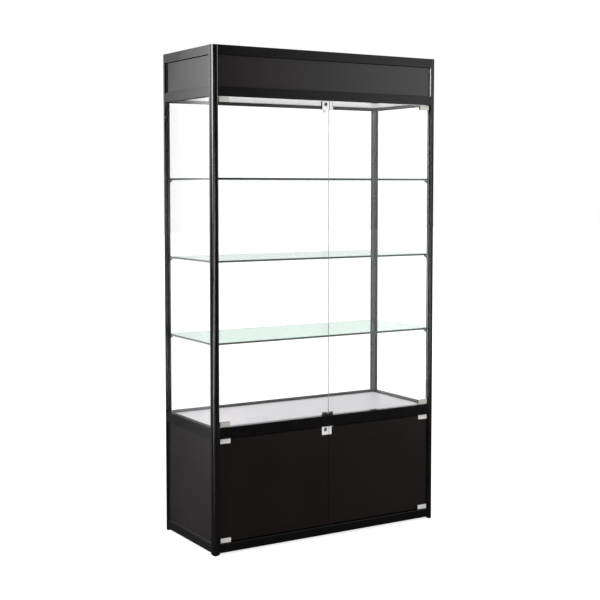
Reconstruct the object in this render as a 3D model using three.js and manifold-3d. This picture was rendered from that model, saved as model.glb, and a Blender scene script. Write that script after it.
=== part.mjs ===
// Tall display case: four corner posts tied by sixteen rails, a glazed display zone with three
// glass shelves, a boxed header and a lower cabinet. Two glass doors and two cabinet doors
// turn on clamp hinges, and each pair of doors has a cam lock.
// Millimetres, +Z up. The origin is on the floor under the middle of the case, +X points to
// the right as seen from the front, and the front faces -Y.
import * as THREE from "three";
import { mergeVertices } from "three/addons/utils/BufferGeometryUtils.js";
import Module from "manifold-3d";

const wasm = await Module();
wasm.setup();

// ---- driving dimensions ----------------------------------------------------------------

const WIDTH = 1070;
const DEPTH = 450;
const HEIGHT = 1980;
const GAP = 0.3; // between pieces that touch

// Corner posts: a hollow square section with one large rounded corner.
const POST = 26;
const POST_ROUND = 20;
const POST_WALL = 2.3;
const GLIDE_HEIGHT = 4;
const GLIDE_RADIUS = 10;
const GLIDE_HOLE = 3;
const CAP_THICKNESS = 3;
const CAP_INSET = 0.6; // post's outer faces to the cap's edge

// Every panel and pane slides into a slot of the same size in the posts and rails.
const SHEET = 5;
const SHEET_INSET = 9; // outer plane of the case to the sheet's outer face
const SLOT_DEPTH = 8;
const SLOT_BITE = 7; // how far a sheet reaches into its slot

// Rails, by the heights of their lower and upper edges.
const RAIL_SETBACK = 1; // outer plane of the case to the rail's outer face
const RAIL_INNER = 25; // outer plane of the case to the rail's inner face
const RAIL_WALL = 2;
const RAILS = {
  base: { low: 10, high: 45 },
  deck: { low: 460, high: 504 },
  header: { low: 1784, high: 1822 },
  top: { low: 1943, high: HEIGHT },
};

// Horizontal boards, held in grooves along the rails' inner faces.
const GROOVE_DEPTH = 6;
const BOARDS = {
  cabinet_floor: { rail: "base", under: 30, thick: 5 },
  deck_panel: { rail: "deck", under: 486, thick: 9 },
  ceiling_panel: { rail: "header", under: 1796, thick: 5 },
  top_cover: { rail: "top", under: 1968, thick: 5 },
};

// Doors stand between the posts, their middle plane this far behind the outer plane.
const DOOR_PLANE = 12.5;
const DOOR_THICK = 5;
const DOOR_SIDE = 29; // side of the case to the door's hinged edge
const DOOR_SPLIT = 2; // gap between the two doors of a pair
const PIVOT_SIDE = 38; // side of the case to the hinge axis
const RAIL_CLEAR = 2; // rail to the clamps on the door's edge

// Clamps fold over a door's edge: a plate on each face and a web across the edge.
const PLATE = 2.7;
const WEB = 2;
const HINGE_WIDTH = 45;
const HINGE_HEIGHT = 18;
const HINGE_TAIL = 5; // from the hinge axis towards the post
const PIN_RADIUS = 2.5;
const PIN_DEPTH = 6; // pin inside the rail
const PIN_CLEAR = 0.4;

// Cam locks: measured from the plug's axis.
const LOCK_TO_SPLIT = 17.5;
const LOCK_DROP = 11.5; // top of the lock plates down to the plug's axis
const LOCK_HEIGHT = 33;
const CASE_HALF = 16.5;
const LOCK_PLATE = 3.2;
const STRIKE_FROM = 18.5;
const STRIKE_TO = 39.5;
const STRIKE_FACE_TO = 30; // the plate on the door's outer face is the shorter one
const PLUG_RADIUS = 6;
const BARREL_RADIUS = 8;
const CAM_REACH = 33;
const CAM_WIDTH = 12;
const CAM_THICK = 2;

// Shelves and the strips that carry them.
const SHELF_THICK = 8;
const SHELF_LEVELS = { lower: 828, middle: 1149, upper: 1470 };
const SHELF_SIDE = 15.5;
const SHELF_FRONT = 30;
const SHELF_BACK = 414;
const STRIP = { side: 17, width: 8, thick: 2, low: 515, high: 1775 };
const BRACKET = { thick: 4, reach: 22, root: 12, tip: 4 };

// ---- colours ---------------------------------------------------------------------------

const material = (color, roughness, metalness, extra = {}) =>
  new THREE.MeshStandardMaterial({ color, roughness, metalness, ...extra });
const FRAME_BLACK = material(0x1c1b1d, 0.32, 0.7);
const BOARD_BLACK = material(0x282627, 0.45, 0.1);
const DOOR_BLACK = material(0x1d1a1a, 0.4, 0.1);
const BOARD_WHITE = material(0xe8e7ea, 0.35, 0);
const CLEAR_GLASS = material(0xe9f3ef, 0.03, 0, { transparent: true, opacity: 0.25 });
const SATIN_STEEL = material(0xc8c5be, 0.35, 0.9);
const BLACK_PLASTIC = material(0x141416, 0.55, 0);
const STRIP_GREY = material(0x6d6d6c, 0.4, 0.8);

// ---- solids ----------------------------------------------------------------------------

/** A closed manifold solid from a three.js geometry. */
function toSolid(geometry) {
  const bare = new THREE.BufferGeometry();
  const flat = geometry.index ? geometry.toNonIndexed() : geometry;
  bare.setAttribute("position", flat.getAttribute("position"));
  const merged = mergeVertices(bare, 1e-4);
  const mesh = new wasm.Mesh({
    numProp: 3,
    vertProperties: merged.getAttribute("position").array,
    triVerts: new Uint32Array(merged.index.array),
  });
  return new wasm.Manifold(mesh);
}

/** The three.js geometry of a manifold solid. */
function toGeometry(solid) {
  const mesh = solid.getMesh();
  const geometry = new THREE.BufferGeometry();
  geometry.setAttribute("position", new THREE.BufferAttribute(mesh.vertProperties, 3));
  geometry.setIndex(new THREE.BufferAttribute(mesh.triVerts, 1));
  geometry.computeVertexNormals();
  return geometry;
}

function box(low, high) {
  const size = high.map((value, i) => value - low[i]);
  const geometry = new THREE.BoxGeometry(...size);
  return geometry.translate(...low.map((value, i) => value + size[i] / 2));
}

/** [x, y] points as vectors in counter-clockwise order. */
function anticlockwise(points) {
  const vectors = points.map(([x, y]) => new THREE.Vector2(x, y));
  return THREE.ShapeUtils.isClockWise(vectors) ? vectors.reverse() : vectors;
}

/** An outline of [x, y] points, with holes, pushed along +Z from 0 to length. */
function prism(outline, length, holes = []) {
  const shape = new THREE.Shape(anticlockwise(outline));
  shape.holes = holes.map((hole) => new THREE.Path(anticlockwise(hole)));
  return new THREE.ExtrudeGeometry(shape, { depth: length, bevelEnabled: false });
}

/** A prism whose outline is [y, z] points, running along X from one place to another. */
function prismAlongX(outline, from, to, holes = []) {
  const axes = new THREE.Matrix4().makeBasis(
    new THREE.Vector3(0, 1, 0),
    new THREE.Vector3(0, 0, 1),
    new THREE.Vector3(1, 0, 0),
  );
  return prism(outline, to - from, holes).applyMatrix4(axes).translate(from, 0, 0);
}

/** A prism whose outline is [x, z] points, running along Y from one place to another. */
function prismAlongY(outline, from, to) {
  return prism(outline, to - from).rotateX(Math.PI / 2).translate(0, to, 0);
}

/** A cylinder along Z, from one height to another. */
function post(radius, from, to, x = 0, y = 0) {
  const geometry = new THREE.CylinderGeometry(radius, radius, to - from, 24);
  return geometry.rotateX(Math.PI / 2).translate(x, y, (from + to) / 2);
}

/** A cylinder along Y, from one depth to another. */
function barrel(radius, from, to) {
  const geometry = new THREE.CylinderGeometry(radius, radius, to - from, 32);
  return geometry.translate(0, (from + to) / 2, 0);
}

function arc(centre, radius, startDegrees, endDegrees, steps) {
  return Array.from({ length: steps + 1 }, (_, i) => {
    const angle = THREE.MathUtils.degToRad(startDegrees + ((endDegrees - startDegrees) * i) / steps);
    return [centre[0] + radius * Math.cos(angle), centre[1] + radius * Math.sin(angle)];
  });
}

const displayCase = new THREE.Group();

/** Adds one named piece to the case and returns its mesh. */
function piece(name, geometry, finish) {
  const mesh = new THREE.Mesh(geometry, finish);
  mesh.name = name;
  displayCase.add(mesh);
  return mesh;
}

// ---- the four sides --------------------------------------------------------------------

// Rails and sheets are drawn on the front, facing -Y, and turned about Z onto their side.
const SIDES = {
  front: { turn: 0, reach: DEPTH / 2, span: WIDTH },
  right: { turn: Math.PI / 2, reach: WIDTH / 2, span: DEPTH },
  back: { turn: Math.PI, reach: DEPTH / 2, span: WIDTH },
  left: { turn: -Math.PI / 2, reach: WIDTH / 2, span: DEPTH },
};

// ---- corner posts ----------------------------------------------------------------------

const slotLow = SHEET_INSET - GAP;
const slotHigh = SHEET_INSET + SHEET + GAP;

/** The post's outline, measured inwards from the outer corner of the case. */
function postOutline() {
  const groove = 0.8;
  const slotFloor = POST - SLOT_DEPTH;
  const bead = POST - 3;
  const corner = arc([POST_ROUND, POST_ROUND], POST_ROUND, 270, 180, 18);
  return [
    [POST, 0],
    [bead + groove, 0],
    [bead, groove],
    [bead - groove, 0],
    ...corner,
    [0, bead - groove],
    [groove, bead],
    [0, bead + groove],
    [0, POST],
    [slotLow, POST],
    [slotLow, slotFloor],
    [slotHigh, slotFloor],
    [slotHigh, POST],
    [POST, POST],
    [POST, slotHigh],
    [slotFloor, slotHigh],
    [slotFloor, slotLow],
    [POST, slotLow],
  ];
}

/** The post's hollow core, clear of both slots. */
function postCore() {
  const far = POST - SLOT_DEPTH - RAIL_WALL;
  const inner = arc([POST_ROUND, POST_ROUND], POST_ROUND - POST_WALL, 247, 203, 8);
  return [[far, far], [far, inner[0][1]], ...inner, [inner.at(-1)[0], far]];
}

/** The top cap's outline: the post's section, a little smaller and without its slots. */
function capOutline() {
  const far = POST - CAP_INSET;
  const corner = arc([POST_ROUND, POST_ROUND], POST_ROUND - CAP_INSET, 270, 180, 18);
  return [[far, CAP_INSET], ...corner, [CAP_INSET, far], [far, far]];
}

/** One post, its foot glide and its top cap, with the outer corner of the case at 0, 0. */
function cornerPost() {
  const capFoot = HEIGHT - CAP_THICKNESS;
  const tubeHeight = capFoot - GLIDE_HEIGHT;
  const tube = prism(postOutline(), tubeHeight, [postCore()]).translate(0, 0, GLIDE_HEIGHT);
  const cap = prism(capOutline(), CAP_THICKNESS + 1).translate(0, 0, capFoot - 1);
  const middle = POST / 2;
  const glide = post(GLIDE_RADIUS, 0, GLIDE_HEIGHT + 1, middle, middle);
  const screwHole = post(GLIDE_HOLE, -1, GLIDE_HEIGHT + 2, middle, middle);
  const solid = toSolid(tube).add(toSolid(cap)).add(toSolid(glide)).subtract(toSolid(screwHole));
  return toGeometry(solid);
}

const postGeometry = cornerPost();
for (const [along, ySign] of [["front", -1], ["back", 1]]) {
  for (const [side, xSign] of [["left", -1], ["right", 1]]) {
    const mesh = piece(`post_${along}_${side}`, postGeometry, FRAME_BLACK);
    mesh.position.set((xSign * WIDTH) / 2, (ySign * DEPTH) / 2, 0);
    mesh.scale.set(-xSign, -ySign, 1);
  }
}

// ---- rails -----------------------------------------------------------------------------

/** A rail's outline as [distance in from the outer plane, height]. */
function railOutline({ low, high }, board, slots) {
  const edge = 0.8; // broken outer edges
  const points = [
    [RAIL_SETBACK, low + edge],
    [RAIL_SETBACK + edge, low],
  ];
  if (slots.under) {
    points.push([slotLow, low], [slotLow, low + SLOT_DEPTH]);
    points.push([slotHigh, low + SLOT_DEPTH], [slotHigh, low]);
  }
  points.push([RAIL_INNER, low]);
  points.push([RAIL_INNER, board.under - GAP], [RAIL_INNER - GROOVE_DEPTH, board.under - GAP]);
  points.push([RAIL_INNER - GROOVE_DEPTH, board.under + board.thick + GAP]);
  points.push([RAIL_INNER, board.under + board.thick + GAP], [RAIL_INNER, high]);
  if (slots.over) {
    points.push([slotHigh, high], [slotHigh, high - SLOT_DEPTH]);
    points.push([slotLow, high - SLOT_DEPTH], [slotLow, high]);
  }
  points.push([RAIL_SETBACK + edge, high], [RAIL_SETBACK, high - edge]);
  return points;
}

/** The hollow inside a rail, clear of its slots and groove. */
function railCore({ low, high }, slots) {
  const bottom = low + RAIL_WALL + (slots.under ? SLOT_DEPTH : 0);
  const top = high - RAIL_WALL - (slots.over ? SLOT_DEPTH : 0);
  const near = RAIL_SETBACK + RAIL_WALL;
  const far = RAIL_INNER - GROOVE_DEPTH - RAIL_WALL;
  return [[near, bottom], [far, bottom], [far, top], [near, top]];
}

const pivotX = WIDTH / 2 - PIVOT_SIDE;
const doorBack = DOOR_PLANE + DOOR_THICK / 2; // outer plane to the doors' inner faces

/** The tab at the middle of the front base rail that both cabinet doors close against. */
function stopTab(railTop) {
  const [half, high, thick] = [25, 8, 3];
  const near = doorBack + 2 * GAP - DEPTH / 2;
  return toSolid(box([-half, near, railTop - 1], [half, near + thick, railTop + high]));
}

/** One rail on one side, drawn on the front and drilled for hinge pins where doors meet it. */
function rail(level, side) {
  const heights = RAILS[level];
  const board = Object.values(BOARDS).find((entry) => entry.rail === level);
  const front = side === "front";
  const slots = {
    under: level === "top" || (!front && level !== "base"),
    over: level === "header" || (!front && level !== "top"),
  };
  const { reach, span } = SIDES[side];
  const half = span / 2 - POST - GAP;
  const outline = railOutline(heights, board, slots);
  const geometry = prismAlongX(outline, -half, half, [railCore(heights, slots)]);
  geometry.translate(0, -reach, 0);
  if (!front || level === "top") return geometry;
  let solid = toSolid(geometry);
  const { low, high } = heights;
  if (level === "base") solid = solid.add(stopTab(high));
  const faces = { base: [high], deck: [low, high], header: [low] }[level];
  for (const face of faces) {
    for (const x of [-pivotX, pivotX]) {
      const bore = post(PIN_RADIUS + PIN_CLEAR, face - RAIL_WALL - 1, face + RAIL_WALL + 1);
      solid = solid.subtract(toSolid(bore.translate(x, DOOR_PLANE - reach, 0)));
    }
  }
  return toGeometry(solid);
}

for (const level of Object.keys(RAILS)) {
  for (const side of Object.keys(SIDES)) {
    const mesh = piece(`${level}_rail_${side}`, rail(level, side), FRAME_BLACK);
    mesh.rotation.z = SIDES[side].turn;
  }
}

// ---- panels and panes held in the slots ------------------------------------------------

/** A sheet on one side, between the rail below it and the rail above it. */
function sheet(name, side, below, above, finish) {
  const { turn, reach, span } = SIDES[side];
  const half = span / 2 - POST + SLOT_BITE;
  const low = RAILS[below].high - SLOT_BITE;
  const high = RAILS[above].low + SLOT_BITE;
  const near = SHEET_INSET - reach;
  const mesh = piece(name, box([-half, near, low], [half, near + SHEET, high]), finish);
  mesh.rotation.z = turn;
}

for (const side of Object.keys(SIDES)) {
  sheet(`header_panel_${side}`, side, "header", "top", BOARD_BLACK);
  if (side === "front") continue;
  sheet(`glass_pane_${side}`, side, "deck", "header", CLEAR_GLASS);
  sheet(`cabinet_panel_${side}`, side, "base", "deck", BOARD_BLACK);
}

// ---- horizontal boards, notched round the posts ----------------------------------------

function board({ under, thick }) {
  const edgeIn = RAIL_INNER - GROOVE_DEPTH + 2 * GAP;
  const [x, y] = [WIDTH / 2 - edgeIn, DEPTH / 2 - edgeIn];
  const [notchX, notchY] = [WIDTH / 2 - POST - 2 * GAP, DEPTH / 2 - POST - 2 * GAP];
  const quarter = [[x, notchY], [notchX, notchY], [notchX, y]];
  const mirrored = (sx, sy) => quarter.map(([px, py]) => [sx * px, sy * py]);
  const outline = [
    ...mirrored(1, 1),
    ...mirrored(-1, 1).reverse(),
    ...mirrored(-1, -1),
    ...mirrored(1, -1).reverse(),
  ];
  return prism(outline, thick).translate(0, 0, under);
}

const BOARD_FINISHES = {
  cabinet_floor: BOARD_BLACK,
  deck_panel: BOARD_WHITE,
  ceiling_panel: BOARD_WHITE,
  top_cover: BOARD_BLACK,
};
for (const [name, sizes] of Object.entries(BOARDS)) {
  piece(name, board(sizes), BOARD_FINISHES[name]);
}

// ---- shelves and shelf strips ----------------------------------------------------------

for (const [name, level] of Object.entries(SHELF_LEVELS)) {
  const half = WIDTH / 2 - SHELF_SIDE;
  const [front, back] = [SHELF_FRONT - DEPTH / 2, SHELF_BACK - DEPTH / 2];
  const [low, high] = [level - SHELF_THICK / 2, level + SHELF_THICK / 2];
  piece(`glass_shelf_${name}`, box([-half, front, low], [half, back, high]), CLEAR_GLASS);
}

/** A strip up the inner face of a front post, with a bracket under each shelf. */
function shelfStrip() {
  const face = POST + GAP;
  const out = face + STRIP.thick;
  let solid = toSolid(
    box([STRIP.side, face, STRIP.low], [STRIP.side + STRIP.width, out, STRIP.high]),
  );
  const middle = STRIP.side + STRIP.width / 2;
  for (const level of Object.values(SHELF_LEVELS)) {
    const seat = level - SHELF_THICK / 2 - GAP;
    const outline = [
      [out - 1, seat - BRACKET.root],
      [out + BRACKET.tip, seat - BRACKET.root],
      [out + BRACKET.reach, seat - BRACKET.tip],
      [out + BRACKET.reach, seat],
      [out - 1, seat],
    ];
    const bracket = prismAlongX(outline, middle - BRACKET.thick / 2, middle + BRACKET.thick / 2);
    solid = solid.add(toSolid(bracket));
  }
  return toGeometry(solid);
}

const stripGeometry = shelfStrip();
for (const [along, ySign] of [["front", -1], ["back", 1]]) {
  for (const [side, xSign] of [["left", -1], ["right", 1]]) {
    const mesh = piece(`shelf_strip_${along}_${side}`, stripGeometry, STRIP_GREY);
    mesh.position.set((xSign * WIDTH) / 2, (ySign * DEPTH) / 2, 0);
    mesh.scale.set(-xSign, -ySign, 1);
  }
}

// ---- doors -----------------------------------------------------------------------------

// Each pair of doors fills the opening between one rail and the next.
const DOOR_PAIRS = {
  glass: { low: RAILS.deck.high, high: RAILS.header.low, finish: CLEAR_GLASS },
  cabinet: { low: RAILS.base.high, high: RAILS.deck.low, finish: DOOR_BLACK },
};
const doorY = DOOR_PLANE - DEPTH / 2;
const edgeClear = RAIL_CLEAR + WEB + GAP; // rail to the door's own edge
const lockX = -LOCK_TO_SPLIT;
const lockZ = (pair) => pair.high - RAIL_CLEAR - LOCK_DROP;

for (const [kind, pair] of Object.entries(DOOR_PAIRS)) {
  const [low, high] = [pair.low + edgeClear, pair.high - edgeClear];
  const [outer, inner] = [WIDTH / 2 - DOOR_SIDE, DOOR_SPLIT / 2];
  const [near, far] = [doorY - DOOR_THICK / 2, doorY + DOOR_THICK / 2];
  const lockHole = barrel(BARREL_RADIUS + 0.5, near - 1, far + 1);
  lockHole.translate(lockX, 0, lockZ(pair));
  const left = toSolid(box([-outer, near, low], [-inner, far, high]));
  piece(`${kind}_door_left`, toGeometry(left.subtract(toSolid(lockHole))), pair.finish);
  piece(`${kind}_door_right`, box([inner, near, low], [outer, far, high]), pair.finish);
}

// ---- clamps on the doors' edges ---------------------------------------------------------

/** A clamp's section as [y, z], folded over a door edge that lies towards -Z. */
function clampOutline(height, plate) {
  const inner = DOOR_THICK / 2 + GAP;
  const outer = inner + plate;
  return [
    [-outer, RAIL_CLEAR],
    [outer, RAIL_CLEAR],
    [outer, RAIL_CLEAR + height],
    [inner, RAIL_CLEAR + height],
    [inner, RAIL_CLEAR + WEB],
    [-inner, RAIL_CLEAR + WEB],
    [-inner, RAIL_CLEAR + height],
    [-outer, RAIL_CLEAR + height],
  ];
}

/** A hinge clamp with its pin, from the hinge axis and the rail's face at 0, 0, 0. */
function hingeClamp() {
  const clamp = prismAlongX(
    clampOutline(HINGE_HEIGHT, PLATE),
    -HINGE_TAIL,
    HINGE_WIDTH - HINGE_TAIL,
  );
  const pin = post(PIN_RADIUS, -PIN_DEPTH, RAIL_CLEAR + WEB / 2);
  return toGeometry(toSolid(clamp).add(toSolid(pin)));
}

const hingeGeometry = hingeClamp();
for (const [kind, pair] of Object.entries(DOOR_PAIRS)) {
  for (const [side, xSign] of [["left", -1], ["right", 1]]) {
    for (const [end, zSign] of [["lower", 1], ["upper", -1]]) {
      const mesh = piece(`${kind}_hinge_${end}_${side}`, hingeGeometry, SATIN_STEEL);
      mesh.position.set(xSign * pivotX, doorY, zSign > 0 ? pair.low : pair.high);
      mesh.scale.set(-xSign, 1, zSign);
    }
  }
}

// ---- cam locks -------------------------------------------------------------------------

const plateBack = DOOR_THICK / 2 + GAP + LOCK_PLATE;

/** A lock plate's clamp over the door's upper edge, with the plug's axis at 0, 0. */
function lockClamp(from, to) {
  const outline = clampOutline(LOCK_HEIGHT, LOCK_PLATE);
  const turned = outline.map(([y, z]) => [y, LOCK_DROP + RAIL_CLEAR - z]);
  return toSolid(prismAlongX(turned, from, to));
}

function lockCase() {
  const body = toSolid(barrel(BARREL_RADIUS, -plateBack, plateBack));
  const bore = toSolid(barrel(PLUG_RADIUS + GAP, -plateBack - 1, plateBack + 1));
  return toGeometry(lockClamp(-CASE_HALF, CASE_HALF).add(body).subtract(bore));
}

/** The plug and its cam, which hangs straight down while the doors are unlocked. */
function lockPlug() {
  const proud = 0.6;
  const camNear = plateBack + 1;
  const plug = toSolid(barrel(PLUG_RADIUS, -plateBack - proud, camNear + CAM_THICK));
  const halfWidth = CAM_WIDTH / 2;
  const outline = [
    ...arc([0, 0], halfWidth, 0, 180, 10),
    ...arc([0, halfWidth - CAM_REACH], halfWidth, 180, 360, 10),
  ];
  const cam = toSolid(prismAlongY(outline, camNear, camNear + CAM_THICK));
  return toGeometry(plug.add(cam));
}

/** The strike plate, with the keeper behind it that the turned cam slides into. */
function lockStrike() {
  const lip = 2;
  const room = 1.5; // behind the cam
  const mouth = 4; // the strike's edge to the keeper's open end
  const lipNear = plateBack + 1 + CAM_THICK + room;
  const half = CAM_WIDTH / 2 + 1;
  const outline = [
    [STRIKE_TO, plateBack - 1],
    [STRIKE_TO, lipNear + lip],
    [STRIKE_FROM + mouth, lipNear + lip],
    [STRIKE_FROM + mouth, lipNear],
    [STRIKE_TO - lip, lipNear],
    [STRIKE_TO - lip, plateBack - 1],
  ];
  const keeper = toSolid(prism(outline, 2 * half).translate(0, 0, -half));
  const beyondFace = toSolid(
    box(
      [STRIKE_FACE_TO, -plateBack - 1, -LOCK_HEIGHT],
      [STRIKE_TO + 1, -DOOR_THICK / 2, LOCK_HEIGHT],
    ),
  );
  return toGeometry(lockClamp(STRIKE_FROM, STRIKE_TO).add(keeper).subtract(beyondFace));
}

for (const [kind, pair] of Object.entries(DOOR_PAIRS)) {
  const parts = { lock_case: lockCase, lock_strike: lockStrike, lock_plug: lockPlug };
  for (const [name, make] of Object.entries(parts)) {
    piece(`${kind}_${name}`, make(), SATIN_STEEL).position.set(lockX, doorY, lockZ(pair));
  }
}

// ---- door stop -------------------------------------------------------------------------

/** The block on the deck rail that both glass doors close against. */
function doorStop() {
  const [half, high, dip, notch] = [25, 12, 8, 5];
  const outline = [[-half, 0], [half, 0], [half, high], [notch, high], [notch - 2, dip]];
  outline.push([2 - notch, dip], [-notch, high], [-half, high]);
  const near = DOOR_THICK / 2 + 2 * GAP;
  return prismAlongY(outline, near, RAIL_INNER - DOOR_PLANE - 1);
}

piece("door_stop", doorStop(), BLACK_PLASTIC).position.set(0, doorY, RAILS.deck.high + GAP);

export default displayCase;
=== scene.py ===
"""The looks of a tall black display case: materials, trim, hardware, floor, light and camera."""
import math

import bmesh
import bpy
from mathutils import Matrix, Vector


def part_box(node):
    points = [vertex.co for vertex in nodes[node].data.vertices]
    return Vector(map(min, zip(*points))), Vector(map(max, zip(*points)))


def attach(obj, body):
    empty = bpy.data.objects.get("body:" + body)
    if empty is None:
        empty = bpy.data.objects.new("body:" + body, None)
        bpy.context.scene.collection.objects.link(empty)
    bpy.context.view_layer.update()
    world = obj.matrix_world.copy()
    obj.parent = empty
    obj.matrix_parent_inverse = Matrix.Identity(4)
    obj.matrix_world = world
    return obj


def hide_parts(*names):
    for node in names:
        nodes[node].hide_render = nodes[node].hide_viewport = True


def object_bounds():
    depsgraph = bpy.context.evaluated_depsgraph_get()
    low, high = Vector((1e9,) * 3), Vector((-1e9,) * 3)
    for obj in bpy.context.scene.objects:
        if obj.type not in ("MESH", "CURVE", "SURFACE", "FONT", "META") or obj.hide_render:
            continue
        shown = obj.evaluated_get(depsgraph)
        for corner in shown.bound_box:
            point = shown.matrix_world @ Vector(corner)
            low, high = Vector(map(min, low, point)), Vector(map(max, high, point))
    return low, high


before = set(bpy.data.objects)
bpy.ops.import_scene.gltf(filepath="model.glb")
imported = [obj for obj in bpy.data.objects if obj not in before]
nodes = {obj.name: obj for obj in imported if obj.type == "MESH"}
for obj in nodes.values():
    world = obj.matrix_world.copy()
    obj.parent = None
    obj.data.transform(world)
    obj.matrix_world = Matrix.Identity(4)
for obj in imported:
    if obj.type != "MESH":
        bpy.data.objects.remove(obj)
cad_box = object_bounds()

MM = 0.001
KINDS = ("glass", "cabinet")
LEFT_RIGHT = (("left", -1), ("right", 1))


# ---- camera ------------------------------------------------------------------------------

def make_camera():
    """A nearly level camera, left of the case and a little below its shoulder."""
    data = bpy.data.cameras.new("camera")
    data.lens = 72.15
    data.sensor_width = 36
    data.shift_y = -0.06
    data.clip_end = 100
    camera = bpy.data.objects.new("camera", data)
    camera.location = (-2.645, -4.325, 1.437)
    tilt_down, turn_right = 3.65, 31.39
    camera.rotation_euler = (math.radians(90 - tilt_down), 0, -math.radians(turn_right))
    bpy.context.scene.collection.objects.link(camera)
    bpy.context.scene.camera = camera


make_camera()


# ---- node helpers --------------------------------------------------------------------------

class Shader:
    """A material under construction: one Principled shader and the nodes that feed it."""

    def __init__(self, name, color, roughness, metallic=0.0, **sockets):
        self.material = bpy.data.materials.new(name)
        self.material.use_nodes = True
        self.tree = self.material.node_tree
        self.principled = self.tree.nodes["Principled BSDF"]
        self.set("Base Color", (*color, 1.0))
        self.set("Roughness", roughness)
        self.set("Metallic", metallic)
        for socket, value in sockets.items():
            self.set(socket.replace("_", " "), value)

    def set(self, socket, value):
        self.principled.inputs[socket].default_value = value

    def link(self, source, target):
        self.tree.links.new(source, target)

    def drive(self, socket, source):
        self.link(source, self.principled.inputs[socket])

    def node(self, kind, **settings):
        made = self.tree.nodes.new(kind)
        for key, value in settings.items():
            setattr(made, key, value)
        return made

    def place(self, stretch=(1, 1, 1)):
        """Object coordinates in metres, stretched along each axis."""
        coordinates = self.node("ShaderNodeTexCoord").outputs["Object"]
        mapping = self.node("ShaderNodeMapping")
        mapping.inputs["Scale"].default_value = stretch
        self.link(coordinates, mapping.inputs["Vector"])
        return mapping.outputs["Vector"]

    def along(self, axis):
        """One object coordinate, in metres."""
        parts = self.node("ShaderNodeSeparateXYZ")
        self.link(self.place(), parts.inputs[0])
        return parts.outputs[axis]

    def noise(self, scale, detail=3.0, stretch=(1, 1, 1)):
        made = self.node("ShaderNodeTexNoise")
        made.inputs["Scale"].default_value = scale
        made.inputs["Detail"].default_value = detail
        self.link(self.place(stretch), made.inputs["Vector"])
        return made.outputs["Fac"]

    def spread(self, value, low, high, start=0.3, end=0.7):
        """Maps a value between start and end onto low to high."""
        made = self.node("ShaderNodeMapRange")
        self.link(value, made.inputs["Value"])
        sockets = ("From Min", "From Max", "To Min", "To Max")
        for socket, number in zip(sockets, (start, end, low, high)):
            made.inputs[socket].default_value = number
        return made.outputs["Result"]

    def math(self, operation, first, second):
        made = self.node("ShaderNodeMath", operation=operation)
        for socket, value in zip(made.inputs, (first, second)):
            if isinstance(value, (int, float)):
                socket.default_value = value
            else:
                self.link(value, socket)
        return made.outputs["Value"]

    def blend(self, factor, first, second):
        """One colour where the factor is 0 and another where it is 1."""
        made = self.node("ShaderNodeMix", data_type="RGBA")
        self.link(factor, made.inputs["Factor"])
        for socket, value in ((made.inputs[6], first), (made.inputs[7], second)):
            if isinstance(value, tuple):
                socket.default_value = (*value, 1.0)
            else:
                self.link(value, socket)
        return made.outputs[2]

    def bump(self, height, distance, strength=1.0):
        made = self.node("ShaderNodeBump")
        made.inputs["Distance"].default_value = distance
        made.inputs["Strength"].default_value = strength
        self.link(height, made.inputs["Height"])
        self.drive("Normal", made.outputs["Normal"])

    def edges(self, radius):
        """Near 1 on sharp edges and near 0 on flat faces."""
        bevel = self.node("ShaderNodeBevel", samples=4)
        bevel.inputs["Radius"].default_value = radius
        normal = self.node("ShaderNodeNewGeometry").outputs["Normal"]
        dot = self.node("ShaderNodeVectorMath", operation="DOT_PRODUCT")
        self.link(bevel.outputs["Normal"], dot.inputs[0])
        self.link(normal, dot.inputs[1])
        return self.spread(dot.outputs["Value"], 1.0, 0.0, 0.75, 0.99)


# ---- materials -----------------------------------------------------------------------------

DRAWN_ALONG = {"X": (0.02, 1, 1), "Y": (1, 0.02, 1), "Z": (1, 1, 0.02)}
FRAME_IOR = {"X": 1.40, "Y": 1.55, "Z": 1.55}  # the long rails shine a little less
CAP_THICK, GLIDE_TALL = 3 * MM, 4 * MM


def black_frame(axis):
    """Satin black anodised extrusion, drawn along one axis, with faintly rubbed edges."""
    shader = Shader(f"black_frame_{axis}", (0.012, 0.0115, 0.012), 0.28, IOR=FRAME_IOR[axis])
    streaks = shader.noise(500, 2, DRAWN_ALONG[axis])
    smudges = shader.noise(9, 4)
    tone = shader.blend(smudges, (0.0022, 0.0019, 0.0019), (0.0042, 0.0037, 0.0038))
    edges = shader.edges(0.8 * MM)
    worn = shader.math("MULTIPLY", edges, shader.spread(shader.noise(60, 3), 0, 0.5))
    color = shader.blend(worn, tone, (0.014, 0.0135, 0.0135))
    drawn = shader.spread(streaks, -0.02, 0.02)
    rough = shader.math("ADD", drawn, shader.spread(smudges, 0.12, 0.17))
    if axis == "Z":
        color, rough = capped(shader, color, rough)
    shader.drive("Base Color", color)
    shader.drive("Roughness", rough)
    shader.bump(streaks, 0.004 * MM, 0.3)
    return shader.material


def capped(shader, color, rough):
    """Turns a post's ends into the moulded plastic of its cap and its glide."""
    height = shader.along("Z")
    cap = shader.math("GREATER_THAN", height, cad_box[1][2] - CAP_THICK)
    glide = shader.math("LESS_THAN", height, GLIDE_TALL)
    plastic = shader.math("ADD", cap, glide)
    grit = shader.noise(1500, 2)
    color = shader.blend(plastic, color, (0.006, 0.006, 0.0065))
    added = shader.math("MULTIPLY", plastic, shader.spread(grit, 0.2, 0.3))
    return color, shader.math("ADD", rough, added)


def black_board():
    """Black melamine board: a fine pebbled print with a slow variation in sheen."""
    shader = Shader("black_board", (0.02, 0.019, 0.0195), 0.36, IOR=1.55)
    pebble = shader.noise(1400, 3)
    cloud = shader.noise(5, 4)
    tone = shader.blend(cloud, (0.0075, 0.0058, 0.0064), (0.0115, 0.0092, 0.0098))
    shader.drive("Base Color", tone)
    shader.drive("Roughness", shader.spread(cloud, 0.13, 0.18))
    shader.bump(pebble, 0.02 * MM, 0.4)
    return shader.material


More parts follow.
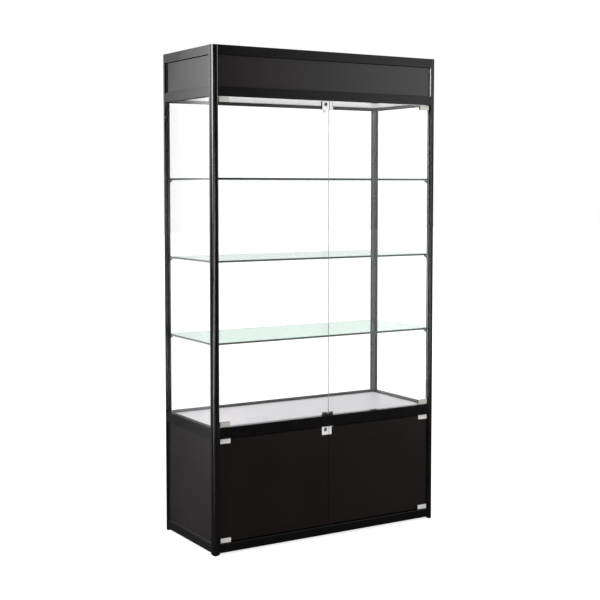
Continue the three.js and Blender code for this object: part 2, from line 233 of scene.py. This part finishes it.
def black_door():
    """Thin black laminate with a faint warm mottle and a fine upright grain."""
    shader = Shader("black_door", (0.011, 0.009, 0.009), 0.35, IOR=1.5)
    grain = shader.noise(420, 4, (1, 1, 0.06))
    cloud = shader.noise(4, 5)
    tone = shader.blend(cloud, (0.0048, 0.0030, 0.0029), (0.0076, 0.0050, 0.0048))
    shader.drive("Base Color", tone)
    fine = shader.spread(grain, -0.01, 0.01)
    rough = shader.math("ADD", fine, shader.spread(cloud, 0.22, 0.26))
    shader.drive("Roughness", rough)
    shader.bump(grain, 0.006 * MM, 0.4)
    return shader.material


def white_board(name, low, high):
    """White melamine board with an orange-peel surface."""
    shader = Shader(name, high, 0.45, IOR=1.4)
    peel = shader.noise(900, 2)
    cloud = shader.noise(3, 4)
    shader.drive("Base Color", shader.blend(cloud, low, high))
    shader.drive("Roughness", shader.spread(cloud, 0.42, 0.48))
    shader.bump(peel, 0.02 * MM, 0.3)
    return shader.material


def clear_glass(name, tint):
    """Clear float glass with a faint film of handling marks."""
    shader = Shader(name, tint, 0.0, IOR=1.5, Transmission_Weight=1.0)
    shader.drive("Roughness", shader.spread(shader.noise(6, 5), 0.0, 0.02, 0.55, 0.8))
    return shader.material


def glass_edge(name, dark, light):
    """The polished cut edge of a glass sheet, deep green, with painted light that makes it a
    little lighter to the right.
    """
    shader = Shader(name, dark, 0.12, IOR=1.5)
    streaks = shader.noise(120, 4, (0.4, 0.4, 1))
    # Painted light: the edge grows lighter towards +X, as the light on the whole case does; the
    # streaks vary its tone at random.
    run = shader.spread(shader.along("X"), 0.0, 0.75, -0.5, 0.5)
    mix = shader.math("ADD", run, shader.spread(streaks, 0.0, 0.25))
    shader.drive("Base Color", shader.blend(mix, dark, light))
    shader.bump(streaks, 0.05 * MM, 0.4)
    return shader.material


def cast_metal(name, color, rough, metallic):
    """Plated die casting: fine skin texture, light handling scratches, brighter rubbed edges."""
    shader = Shader(name, color, rough, metallic)
    skin = shader.noise(1800, 2)
    scratches = shader.noise(900, 3, (0.05, 1, 0.6))
    bright = tuple(min(1.0, channel * 1.12) for channel in color)
    shader.drive("Base Color", shader.blend(shader.edges(0.6 * MM), color, bright))
    mottle = shader.spread(skin, -0.04, 0.04)
    worn = shader.spread(scratches, rough - 0.04, rough + 0.04)
    shader.drive("Roughness", shader.math("ADD", mottle, worn))
    shader.bump(scratches, 0.01 * MM, 0.4)
    return shader.material


def black_moulding(name, rough):
    """Moulded black plastic or rubber with a fine matt texture."""
    shader = Shader(name, (0.006, 0.006, 0.0065), rough, IOR=1.48, Specular_IOR_Level=0.3)
    grit = shader.noise(2200, 3)
    tone = shader.blend(shader.noise(30, 4), (0.004, 0.004, 0.0045), (0.009, 0.009, 0.0095))
    shader.drive("Base Color", tone)
    shader.bump(grit, 0.05 * MM, 0.6)
    return shader.material


def strip_metal():
    """Grey rolled strip, with fine lines along it."""
    shader = Shader("strip_metal", (0.13, 0.13, 0.13), 0.25, 1.0)
    lines = shader.noise(900, 3, DRAWN_ALONG["Z"])
    shader.drive("Base Color", shader.blend(lines, (0.06, 0.06, 0.06), (0.11, 0.11, 0.11)))
    shader.drive("Roughness", shader.spread(lines, 0.16, 0.26))
    shader.bump(lines, 0.02 * MM, 0.4)
    return shader.material


FRAME = {axis: black_frame(axis) for axis in "XYZ"}
BOARD = black_board()
DOOR = black_door()
# The deck and the ceiling are one white board in two copies. The ceiling's copy is painted
# lighter, a painted light standing in for the light it gets from below. The deck's purple lean is
# partly its own tint and partly painted light that cancels the green light coming through the
# shelves.
WHITE = white_board("white_board", (0.518, 0.469, 0.508), (0.556, 0.504, 0.545))
CEILING_LIT_COPY = white_board("ceiling_board_painted_light", (0.70, 0.63, 0.66), (0.75, 0.68, 0.71))
PANE = clear_glass("pane_glass", (0.985, 0.995, 0.99))
SHELF = clear_glass("shelf_glass", (0.62, 0.83, 0.73))
PANE_EDGE = glass_edge("pane_edge", (0.10, 0.12, 0.11), (0.20, 0.23, 0.215))
SHELF_EDGE = glass_edge("shelf_edge", (0.001, 0.006, 0.004), (0.004, 0.02, 0.014))
NICKEL = cast_metal("satin_nickel", (0.80, 0.78, 0.755), 0.34, 0.45)
WARM_NICKEL = cast_metal("warm_nickel", (0.62, 0.60, 0.55), 0.34, 0.45)
LOCK_PLATE = cast_metal("lock_plate", (0.84, 0.83, 0.82), 0.34, 0.35)
BRIGHT = cast_metal("bright_nickel", (0.80, 0.79, 0.77), 0.22, 0.8)
PLASTIC = black_moulding("black_plastic", 0.45)
RUBBER = black_moulding("black_rubber", 0.65)
# Painted shade: this dark steel goes on the sawn ends of the clamps and lock cases and on the
# plug's face, darkening them as if in shadow.
SHADE_STEEL = cast_metal("steel_painted_shade", (0.035, 0.034, 0.033), 0.3, 0.6)
STRIP = strip_metal()


# ---- CAD nodes -----------------------------------------------------------------------------

def dress(node, *materials):
    """Gives a CAD node its materials."""
    node.data.materials.clear()
    for material in materials:
        node.data.materials.append(material)


def soften(thing, width, segments=2):
    """Rounds a mesh's sharp edges with a modifier, so its own vertices stay where they are."""
    bevel = thing.modifiers.new("edges", "BEVEL")
    bevel.width = width
    bevel.segments = segments
    bevel.limit_method = "ANGLE"
    bevel.angle_limit = math.radians(35)
    bevel.harden_normals = True
    for polygon in thing.data.polygons:
        polygon.use_smooth = True
    normals = thing.modifiers.new("normals", "WEIGHTED_NORMAL")
    normals.keep_sharp = True


def edge_faces(node, thin_axis):
    """Puts a sheet's narrow faces, the cut edges, on its second material."""
    for polygon in node.data.polygons:
        if abs(polygon.normal[thin_axis]) < 0.5:
            polygon.material_index = 1


def shade_flank_faces(node):
    """Puts the two sawn ends of a clamp on its second material, a painted shade that darkens them
    as if they stood in shadow.
    """
    for polygon in node.data.polygons:
        if abs(polygon.normal.x) > 0.9:
            polygon.material_index = 1


def finish_of(name):
    """The materials of a CAD node that stays, by its name."""
    if name.startswith("post_"):
        return (FRAME["Z"],)
    if "_rail_" in name:
        return (FRAME["X" if name.endswith(("front", "back")) else "Y"],)
    if name == "deck_panel":
        return (WHITE,)
    if name == "ceiling_panel":
        return (CEILING_LIT_COPY,)
    if name.startswith("cabinet_door"):
        return (DOOR,)
    if name.startswith("glass_shelf"):
        return (SHELF, SHELF_EDGE)
    if name.startswith(("glass_pane", "glass_door")):
        return (PANE, PANE_EDGE)
    if "_lock_plug" in name:
        return (BRIGHT,)
    if "_lock_" in name:
        return (LOCK_PLATE, SHADE_STEEL)
    if "_hinge_" in name:
        return (WARM_NICKEL if name.startswith("glass") else NICKEL, SHADE_STEEL)
    if name == "door_stop":
        return (PLASTIC,)
    return (BOARD,)


def dress_nodes():
    for name, node in nodes.items():
        if name.startswith("shelf_strip"):
            continue
        materials = finish_of(name)
        dress(node, *materials)
        # Clamps and lock parts get their sawn ends painted dark as shade.
        if SHADE_STEEL in materials:
            shade_flank_faces(node)
        if len(materials) == 1 or SHADE_STEEL in materials:
            soften(node, 0.5 * MM)
            continue
        low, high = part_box(name)
        size = high - low
        edge_faces(node, min(range(3), key=lambda axis: size[axis]))
        soften(node, 0.25 * MM, 1)
        node.visible_shadow = False


dress_nodes()


# ---- mesh pieces ---------------------------------------------------------------------------

def piece(name, points, faces, body, materials, bevel=0.0):
    """A new mesh piece that rides on a body."""
    mesh = bpy.data.meshes.new(name)
    mesh.from_pydata([tuple(point) for point in points], [], faces)
    working = bmesh.new()
    working.from_mesh(mesh)
    bmesh.ops.remove_doubles(working, verts=working.verts, dist=1e-7)
    bmesh.ops.recalc_face_normals(working, faces=working.faces)
    working.to_mesh(mesh)
    working.free()
    for material in materials:
        mesh.materials.append(material)
    made = bpy.data.objects.new(name, mesh)
    bpy.context.scene.collection.objects.link(made)
    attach(made, body)
    if bevel:
        soften(made, bevel)
    return made


class Pile:
    """Points and faces gathered from several simple shapes into one piece."""

    def __init__(self):
        self.points = []
        self.faces = []

    def loops(self, loops, closed=False, ends=True):
        """A skin over rings of points that all have the same number of points."""
        start, count = len(self.points), len(loops[0])
        for loop in loops:
            self.points.extend(loop)
        pairs = list(zip(range(len(loops)), range(1, len(loops))))
        if closed:
            pairs.append((len(loops) - 1, 0))
        for first, second in pairs:
            near, far = start + first * count, start + second * count
            for i in range(count):
                j = (i + 1) % count
                self.faces.append((near + i, near + j, far + j, far + i))
        if ends and not closed:
            last = start + (len(loops) - 1) * count
            self.faces.append(tuple(range(start, start + count)))
            self.faces.append(tuple(range(last, last + count)))

    def make(self, name, body, slot, materials, bevel=0.0):
        return piece(name, self.points, self.faces, body, materials, bevel)


def ring_xz(radius, x, y, z, steps=24, corners=0):
    """A ring of points about the Y axis: a circle, or a polygon sampled like one."""
    points = []
    for i in range(steps):
        angle = 2 * math.pi * i / steps
        reach = radius
        if corners:
            sector = math.pi / corners
            reach = radius * math.cos(sector) / math.cos(angle % (2 * sector) - sector)
        points.append((x + reach * math.cos(angle), y, z + reach * math.sin(angle)))
    return points


def socket_screw(pile, x, y, z, out, radius, height):
    """A domed screw head with a hexagonal socket, standing out along -Y or +Y."""
    socket = radius * 0.5
    profile = [
        (radius, 0.0, 0),
        (radius, height * 0.35, 0),
        (radius * 0.86, height * 0.8, 0),
        (radius * 0.62, height, 0),
        (socket, height, 6),
        (socket * 0.96, height * 0.3, 6),
    ]
    pile.loops([ring_xz(r, x, y + out * h, z, 24, corners) for r, h, corners in profile])


# ---- shelf strips and brackets ---------------------------------------------------------------

SLOT_PITCH, SLOT_TALL, SLOT_WIDE = 25 * MM, 13 * MM, 3 * MM
STRIP_DEEP, STRIP_SHEET = 2 * MM, 0.7 * MM
BRACKET_THICK, PAD_THICK = 3 * MM, 1.5 * MM
BRACKET_REACH, BRACKET_NOSE, BRACKET_ROOT = 21 * MM, 2.2 * MM, 12 * MM
SHELF_NAMES = ("lower", "middle", "upper")
SADDLE = (  # a pad's section over its bracket, as (x, z) in mm
    (2.6, -3.0),
    (2.6, 1.2),
    (-2.6, 1.2),
    (-2.6, -3.0),
    (-1.7, -3.0),
    (-1.7, 0.1),
    (1.7, 0.1),
    (1.7, -3.0),
)


def slotted_strip(name, x0, x1, root, out, z0, z1):
    """A thin channel with slots up its web and its two flanges turned back to the post."""
    middle = (x0 + x1) / 2
    columns = [x0, middle - SLOT_WIDE / 2, middle + SLOT_WIDE / 2, x1]
    count = int((z1 - z0) / SLOT_PITCH)
    margin = (z1 - z0 - count * SLOT_PITCH) / 2
    rows = [z0]
    for i in range(count):
        foot = z0 + margin + i * SLOT_PITCH + (SLOT_PITCH - SLOT_TALL) / 2
        rows += [foot, foot + SLOT_TALL]
    rows.append(z1)
    points, faces = [], []
    for z in rows:
        points.append((x0, root, z))
        points.extend((x, out, z) for x in columns)
        points.append((x1, root, z))
    wide = len(columns) + 2
    for i in range(len(rows) - 1):
        for j in range(wide - 1):
            if i % 2 and j == 2:
                continue
            corner = i * wide + j
            faces.append((corner, corner + 1, corner + wide + 1, corner + wide))
    strip = piece(name, points, faces, "root", [STRIP])
    skin = strip.modifiers.new("sheet", "SOLIDIFY")
    skin.thickness = STRIP_SHEET
    skin.offset = -1
    inward = Vector((0, root - out, 0)).normalized()
    web = next(p for p in strip.data.polygons if abs(p.normal.y) > 0.5)
    if web.normal.dot(inward) > 0:
        strip.data.flip_normals()
    soften(strip, 0.15 * MM, 1)
    return strip


def bracket_outline(out, away, seat):
    """A shelf bracket from the side, as [y, z]: a deep root, a rising underside, a round nose."""
    foot, nose = seat - BRACKET_ROOT, BRACKET_NOSE
    points = [(out - 1 * MM * away, seat), (out - 1 * MM * away, foot)]
    points += [(out + 3.5 * MM * away, foot), (out + 9 * MM * away, seat - 8.2 * MM)]
    for i in range(7):
        angle = math.radians(-70 + 160 * i / 6)
        y = out + away * (BRACKET_REACH - nose + nose * math.cos(angle))
        points.append((y, seat - nose + nose * math.sin(angle)))
    return points


def make_shelf_strips():
    for depth in ("front", "back"):
        for side, _ in LEFT_RIGHT:
            corner = f"{depth}_{side}"
            node = f"shelf_strip_{corner}"
            low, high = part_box(node)
            away = 1 if depth == "front" else -1
            root = low.y if away > 0 else high.y
            out = root + STRIP_DEEP * away
            strip = slotted_strip(f"strip_{corner}", low.x, high.x, root, out, low.z, high.z)
            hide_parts(node)
            middle = (low.x + high.x) / 2
            brackets, pads = Pile(), Pile()
            for level in SHELF_NAMES:
                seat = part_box(f"glass_shelf_{level}")[0].z - PAD_THICK
                outline = bracket_outline(out, away, seat)
                halves = (middle - BRACKET_THICK / 2, middle + BRACKET_THICK / 2)
                brackets.loops([[(x, y, z) for y, z in outline] for x in halves])
                section = [(middle + x * MM, seat + z * MM) for x, z in SADDLE]
                ends = (out + 11 * MM * away, out + 20 * MM * away)
                pads.loops([[(x, y, z) for x, z in section] for y in ends])
            brackets.make(f"brackets_{corner}", "root", "strip_metal", [STRIP], 0.3 * MM)
            pads.make(f"bracket_pads_{corner}", "root", "black_plastic", [RUBBER], 0.2 * MM)


# ---- glazing gaskets -------------------------------------------------------------------------

ZONES = {
    "display": ("deck", "header", "glass_pane", ("right", "back", "left")),
    "header": ("header", "top", "header_panel", ("front", "right", "back", "left")),
    "cabinet": ("base", "deck", "cabinet_panel", ("right", "back", "left")),
}
BEAD = ((0.0, 0.1), (1.7, 0.1), (1.4, 0.7), (0.9, 1.1), (0.0, 1.3))  # (inward, proud) in mm


def make_gaskets():
    """A bead of black rubber on each side of every pane and panel, along its four edges."""
    for zone, (below, above, sheet, sides) in ZONES.items():
        for side in sides:
            low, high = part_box(f"{sheet}_{side}")
            along_x = side in ("front", "back")
            flat = 1 if along_x else 0
            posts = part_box("post_front_left")[1]
            z0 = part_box(f"{below}_rail_{side}")[1].z
            z1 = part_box(f"{above}_rail_{side}")[0].z
            half = -posts.x if along_x else -posts.y
            for face, plane, sign in (("low", low[flat], -1), ("high", high[flat], 1)):
                loops = []
                for inward, proud in BEAD:
                    u, d = half - inward * MM, plane + sign * proud * MM
                    v0, v1 = z0 + inward * MM, z1 - inward * MM
                    ring = [(-u, v0), (u, v0), (u, v1), (-u, v1)]
                    loops.append([(a, d, v) if along_x else (d, a, v) for a, v in ring])
                bead = Pile()
                bead.loops(loops, closed=True)
                name = f"gasket_{zone}_{side}_{face}"
                bead.make(name, "root", "black_plastic", [RUBBER], 0.25 * MM)


# ---- painted highlight at the fascia's right end ---------------------------------------------

def make_painted_fascia_highlight():
    """A pale strip in the recess at the fascia's right end, against the post: a painted
    highlight, standing in for the bright line of light on the post's edge there.
    """
    post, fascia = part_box("post_front_right"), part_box("header_panel_front")
    z0, z1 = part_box("header_rail_front")[1].z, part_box("top_rail_front")[0].z
    face = post[0].x
    x0, x1 = face - 0.5 * MM, face - 0.05 * MM
    y0, y1 = post[0].y + 2 * MM, fascia[0].y - 0.1 * MM
    # Painted highlight: this strip of white board stands in for the light on the post's edge
    # between the rails.
    trim = Pile()
    strip = [
        (x0 + 0.2 * MM, y0),
        (x1, y0 - 0.2 * MM),
        (x1, y1),
        (x0 - 1 * MM, y1),
        (x0, y1 - 1 * MM),
    ]
    trim.loops([[(x, y, z) for x, y in strip] for z in (z0 + 0.3 * MM, z1 - 0.3 * MM)])
    trim.make("fascia_painted_highlight", "root", "white_board", [WHITE], 0.1 * MM)


# ---- hinge and lock details --------------------------------------------------------------------

LINER_THIN = 0.28 * MM
LINER_PROUD = 0.5 * MM  # how far a liner shows past its clamp
HINGE_SCREWS = (-11 * MM, 11 * MM)  # from the middle of a clamp


def liner(pile, x0, x1, door, z_edge, height, into):
    """A thin liner between a clamp and its door: a U over the door's edge."""
    y_near, y_far = door[0].y, door[1].y
    outside, tip = z_edge - into * LINER_THIN, z_edge + into * height
    outline = [
        (y_near - LINER_THIN, outside),
        (y_far + LINER_THIN, outside),
        (y_far + LINER_THIN, tip),
        (y_far, tip),
        (y_far, z_edge),
        (y_near, z_edge),
        (y_near, tip),
        (y_near - LINER_THIN, tip),
    ]
    pile.loops([[(x, y, z) for y, z in outline] for x in (x0, x1)])


def make_hinge_details():
    for kind in KINDS:
        for side, sign in LEFT_RIGHT:
            body = f"{kind}_door_{side}"
            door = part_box(body)
            for end, into in (("lower", 1), ("upper", -1)):
                low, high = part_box(f"{kind}_hinge_{end}_{side}")
                edge = door[0].z if into > 0 else door[1].z
                tip = high.z if into > 0 else low.z
                name = f"{kind}_{end}_{side}"
                pads = Pile()
                tall = abs(tip - edge) + LINER_PROUD
                liner(pads, low.x - 0.4 * MM, high.x + 0.4 * MM, door, edge, tall, into)
                pads.make(f"clamp_liner_{name}", body, "black_plastic", [PLASTIC])
                screws = Pile()
                middle_z = (edge + tip) / 2
                centre = (low.x + high.x) / 2 - sign * 2.5 * MM
                for offset in HINGE_SCREWS:
                    socket_screw(screws, centre + offset, high.y, middle_z, 1, 3 * MM, 1.3 * MM)
                screws.make(f"hinge_screws_{name}", body, "plug_steel", [BRIGHT], 0.1 * MM)


KEYWAY_TALL, KEYWAY_WIDE = 6.4 * MM, 1.1 * MM
PLUG_DROP = 11.5 * MM  # top of the lock plates down to the plug's axis
STRIKE_FACE_WIDE = 11.5 * MM
LOCK_LINER_TALL = 30 * MM
BEZEL = ((6.4, -0.5), (6.4, 0.55), (6.9, 0.9), (7.9, 0.85), (8.6, 0.35), (8.8, -0.5))
PLUG_FACE = ((5.7, -0.4), (5.7, 0.15), (5.45, 0.35))  # these and BEZEL: (radius, proud) in mm
RING_NUT = (  # (radius, corners, proud) in mm
    (8.3, 0, 0.0),
    (8.3, 0, 0.05),
    (9.4, 6, 0.1),
    (9.4, 6, 0.75),
    (8.9, 0, 0.95),
    (8.3, 0, 0.95),
)


def keyway_ring(x, y, z, steps=24):
    """A ring of points round a tall narrow slot with a wider lower half."""
    points = []
    for i in range(steps):
        angle = 2 * math.pi * i / steps
        across = KEYWAY_WIDE * (0.5 if math.sin(angle) > 0 else 0.85)
        px = max(-across, min(across, KEYWAY_TALL * math.cos(angle)))
        pz = max(-0.5, min(0.5, math.sin(angle))) * KEYWAY_TALL
        points.append((x + px, y, z + pz))
    return points


def make_bezel(kind, x, z):
    """The bright ring round the plug, on the front of the lock case."""
    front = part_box(f"{kind}_lock_case")[0].y
    bezel = Pile()
    bezel.loops([ring_xz(r * MM, x, front - h * MM, z, 36) for r, h in BEZEL], closed=True)
    bezel.make(f"{kind}_lock_bezel", f"{kind}_door_left", "plug_steel", [BRIGHT])


def make_plug_face(kind, x, z):
    """The plug's face, painted dark as shade, with a keyway sunk into it whose walls and floor
    are painted black as the shade of a deep hole.
    """
    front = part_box(f"{kind}_lock_plug")[0].y
    face = Pile()
    loops = [ring_xz(r * MM, x, front - h * MM, z, 24) for r, h in PLUG_FACE]
    loops += [keyway_ring(x, front + y, z) for y in (-0.35 * MM, 0.1 * MM)]
    face.loops(loops)
    body = f"{kind}_lock_plug"
    made = face.make(f"{kind}_lock_face", body, "plug_steel", [SHADE_STEEL, PLASTIC])
    # The face's dark steel and the keyway's black plastic are painted shade: the keyway is only a
    # shallow dent, painted black as if it were deep.
    for polygon in made.data.polygons:
        centre = polygon.center - Vector((x, 0, z))
        keyway_shade = abs(centre.x) < 1.3 * MM and abs(centre.z) < 3.4 * MM
        if keyway_shade and centre.y > front - 0.3 * MM:
            polygon.material_index = 1


def make_lock_ring(kind, x, z):
    """The nut that holds the lock, behind the door."""
    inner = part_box(f"{kind}_lock_case")[1].y
    nut = Pile()
    rings = [ring_xz(r * MM, x, inner + h * MM, z, 24, c) for r, c, h in RING_NUT]
    nut.loops(rings, closed=True)
    nut.make(f"{kind}_lock_ring", f"{kind}_door_left", "plug_steel", [BRIGHT])


def make_cam_screw(kind, x, z):
    """The screw that holds the cam on the plug's rear end."""
    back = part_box(f"{kind}_lock_plug")[1].y
    screw = Pile()
    socket_screw(screw, x, back, z, 1, 4 * MM, 1.8 * MM)
    screw.make(f"{kind}_cam_screw", f"{kind}_lock_plug", "plug_steel", [BRIGHT], 0.1 * MM)


def make_lock_liners(kind, x):
    """The liners under the lock case and under the strike."""
    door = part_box(f"{kind}_door_left")
    top = door[1].z
    left_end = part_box(f"{kind}_lock_case")[0].x - 0.3 * MM
    pads = Pile()
    liner(pads, left_end, x - 9 * MM, door, top, LOCK_LINER_TALL, -1)
    pads.make(f"{kind}_lock_liner", f"{kind}_door_left", "black_plastic", [PLASTIC])
    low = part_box(f"{kind}_lock_strike")[0]
    right_end = low.x + STRIKE_FACE_WIDE + 0.3 * MM
    pads = Pile()
    liner(pads, low.x - 0.3 * MM, right_end, door, top, top - low.z + LINER_PROUD, -1)
    pads.make(f"{kind}_strike_liner", f"{kind}_door_right", "black_plastic", [PLASTIC])


def make_lock_details():
    for kind in KINDS:
        low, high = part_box(f"{kind}_lock_case")
        x, z = (low.x + high.x) / 2, high.z - PLUG_DROP
        make_bezel(kind, x, z)
        make_plug_face(kind, x, z)
        make_lock_ring(kind, x, z)
        make_cam_screw(kind, x, z)
        make_lock_liners(kind, x)


make_shelf_strips()
make_gaskets()
make_painted_fascia_highlight()
make_hinge_details()
make_lock_details()


# ---- stage ---------------------------------------------------------------------------------

def make_floor():
    """A wide pale floor, bright enough to run into the white background."""
    mesh = bpy.data.meshes.new("floor")
    reach = 30
    corners = [(-reach, -reach, 0), (reach, -reach, 0), (reach, reach, 0), (-reach, reach, 0)]
    mesh.from_pydata(corners, [], [(0, 1, 2, 3)])
    floor = bpy.data.objects.new("floor", mesh)
    floor.location.z = -0.2 * MM
    bpy.context.scene.collection.objects.link(floor)
    shader = Shader("floor", (0.4, 0.4, 0.4), 0.9)
    shader.set("Emission Color", (1, 1, 1, 1))
    shader.set("Emission Strength", 0.8)
    mesh.materials.append(shader.material)
    floor.visible_glossy = False


def area_light(name, place, aim, size, power):
    data = bpy.data.lights.new(name, "AREA")
    data.shape = "RECTANGLE"
    data.size, data.size_y = size
    data.energy = power
    lamp = bpy.data.objects.new(name, data)
    lamp.location = place
    direction = Vector(aim) - Vector(place)
    lamp.rotation_mode = "QUATERNION"
    lamp.rotation_quaternion = direction.to_track_quat("-Z", "Y")
    bpy.context.scene.collection.objects.link(lamp)


AMBIENT = 0.04
GLASS_LOSS = 0.27  # extra white behind glass, to make up for what two panes take away
LEAN = 3.6  # how far the tall window leans: "slope" is X - LEAN * Z
PANELS = (
    # back right, grazes the deck and the ceiling
    (1.15, (("X", -0.15, 0.15), ("Y", 0.1, 0.5), ("Z", -0.5, -0.2))),
    # back left, high: the header's left side
    (1.8, (("X", -0.43, -0.475), ("Y", 0.3, 0.7), ("Z", -0.12, 0.12))),
    # back left, tall: the whole left side, weaker further down
    (
        2.6,
        (("X", -0.42, -0.47), ("X", -0.62, -0.52), ("Y", 0.3, 0.7), ("Z", -0.37, 0.16)),
    ),
    # left, high: the bright line up the front left post
    (23.0, (("X", -0.82, -0.92), ("Y", -0.03, -0.15), ("Z", -0.03, 0.07))),
    # front right: the fascia, lighter towards its right end
    (2.9, (("X", 0.43, 0.74), ("X", 0.82, 0.70), ("Y", -0.1, -0.4), ("Z", -0.22, 0.08))),
    # front left, a narrow leaning window: the thin line down the same post
    (
        19.0,
        (("slope", -0.46, -0.40), ("slope", -0.30, -0.36), ("Y", 0.1, -0.2), ("Z", 0.03, -0.02)),
    ),
    # overhead
    (1.3, (("Z", 0.3, 0.6),)),
)


def make_world():
    """White for the camera, also through glass, and soft panels of light for all the rest."""
    world = bpy.data.worlds.new("studio")
    bpy.context.scene.world = world
    world.use_nodes = True
    tree = world.node_tree
    tree.nodes.clear()
    add = tree.nodes.new
    link = tree.links.new

    def calc(operation, first, second):
        made = add("ShaderNodeMath")
        made.operation = operation
        for socket, value in zip(made.inputs, (first, second)):
            if isinstance(value, (int, float)):
                socket.default_value = value
            else:
                link(value, socket)
        return made.outputs[0]

    direction = add("ShaderNodeSeparateXYZ")
    link(add("ShaderNodeTexCoord").outputs["Generated"], direction.inputs[0])
    axes = {axis: direction.outputs[axis] for axis in "XYZ"}
    axes["slope"] = calc("SUBTRACT", axes["X"], calc("MULTIPLY", axes["Z"], LEAN))

    def rise(axis, start, end):
        """0 at start and 1 at end, along one axis of the direction."""
        made = add("ShaderNodeMapRange")
        made.interpolation_type = "SMOOTHSTEP"
        link(axes[axis], made.inputs["Value"])
        if start > end:
            start, end = end, start
            low, high = 1, 0
        else:
            low, high = 0, 1
        sockets = ("From Min", "From Max", "To Min", "To Max")
        for socket, number in zip(sockets, (start, end, low, high)):
            made.inputs[socket].default_value = number
        return made.outputs["Result"]

    light = AMBIENT
    for strength, limits in PANELS:
        glow = strength
        for axis, start, end in limits:
            glow = calc("MULTIPLY", rise(axis, start, end), glow)
        light = calc("ADD", glow, light)

    path = add("ShaderNodeLightPath").outputs
    first_hit = calc("LESS_THAN", calc("ADD", path["Diffuse Depth"], path["Glossy Depth"]), 0.5)
    through = calc("MULTIPLY", path["Is Transmission Ray"], first_hit)
    seen = calc("MAXIMUM", path["Is Camera Ray"], through)

    white = add("ShaderNodeBackground")
    white.inputs["Color"].default_value = (1, 1, 1, 1)
    link(calc("ADD", calc("MULTIPLY", through, GLASS_LOSS), 1.0), white.inputs["Strength"])
    studio = add("ShaderNodeBackground")
    link(light, studio.inputs["Strength"])
    mix = add("ShaderNodeMixShader")
    link(seen, mix.inputs[0])
    link(studio.outputs[0], mix.inputs[1])
    link(white.outputs[0], mix.inputs[2])
    link(mix.outputs[0], add("ShaderNodeOutputWorld").inputs["Surface"])


make_floor()
make_world()
area_light("left_window", (-4.2, 0.5, 2.9), (-0.5, 0, 1.9), (2.0, 2.2), 50)
bpy.context.scene.view_settings.view_transform = "Standard"
